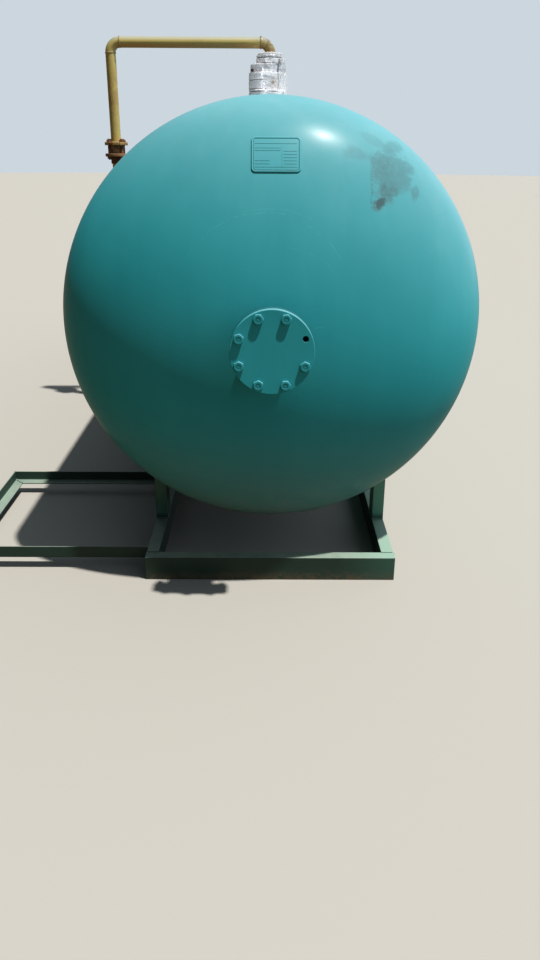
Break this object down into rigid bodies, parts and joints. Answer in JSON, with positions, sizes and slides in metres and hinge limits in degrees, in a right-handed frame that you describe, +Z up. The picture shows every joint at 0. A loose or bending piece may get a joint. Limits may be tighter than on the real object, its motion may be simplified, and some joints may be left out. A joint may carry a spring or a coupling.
{
  "type": "lpg dispensing tank",
  "caption": "Horizontal welded gas tank with dished heads on a channel skid, with a bolted round end cover, a side outrigger frame, a film-wrapped top valve and a filling line.",
  "frame": {"origin": "on the ground, at the centre of the underside of the skid's middle cross channel, under the tank's axis", "axes": "+Y along the tank away from the flanged front head, +Z up, +X to the right seen from the front head; the outrigger and the filling line are on the -X side"},
  "size_m": [2.1, 5.3811, 2.2348],
  "materials": {
    "tank_paint": "glossy turquoise paint, dusty, with scuffs and one dull stain",
    "skid_paint": "thin green paint, dusty, worn at edges",
    "pipe_paint": "yellow paint, chalky",
    "rusty_iron": "brown rust over old primer",
    "film_wrap": "creased clear and white stretch film",
    "gasket_fibre": "matt grey-black sheet"
  },
  "bodies": {
    "root": {"tank_shell_front": "tank_paint", "tank_shell_middle": "tank_paint", "tank_shell_rear": "tank_paint", "front_head": "tank_paint", "rear_head": "tank_paint", "cover_neck": "tank_paint", "cover_neck_flange": "tank_paint", "cover_plate": "tank_paint", "nameplate_tray": "tank_paint", "nameplate": "tank_paint", "leg_pad_front_left": "tank_paint", "leg_pad_front_right": "tank_paint", "leg_pad_rear_left": "tank_paint", "leg_pad_rear_right": "tank_paint", "top_nozzle_neck": "tank_paint", "top_nozzle_flange": "tank_paint", "cover_gasket": "gasket_fibre", "skid_beam_left": "skid_paint", "skid_beam_right": "skid_paint", "skid_cross_front": "skid_paint", "skid_cross_middle": "skid_paint", "skid_cross_rear": "skid_paint", "leg_front_left": "skid_paint", "leg_front_right": "skid_paint", "leg_rear_left": "skid_paint", "leg_rear_right": "skid_paint", "outrigger_front": "skid_paint", "outrigger_rear": "skid_paint", "outrigger_outer": "skid_paint", "riser_post": "skid_paint", "riser_arm": "skid_paint", "riser_clamp": "skid_paint", "wrapped_shutoff_valve": "film_wrap", "outlet_flange": "pipe_paint", "pipe_top_elbow": "pipe_paint", "pipe_top_run": "pipe_paint", "pipe_side_elbow": "pipe_paint", "riser_upper": "pipe_paint", "check_valve_upper_flange": "pipe_paint", "riser_lower": "pipe_paint", "fill_elbow": "pipe_paint", "fill_flange": "pipe_paint", "fill_blind": "pipe_paint", "check_valve_body": "rusty_iron", "check_valve_lower_flange": "rusty_iron", "riser_coupling": "rusty_iron"}
  },
  "joints": []
}
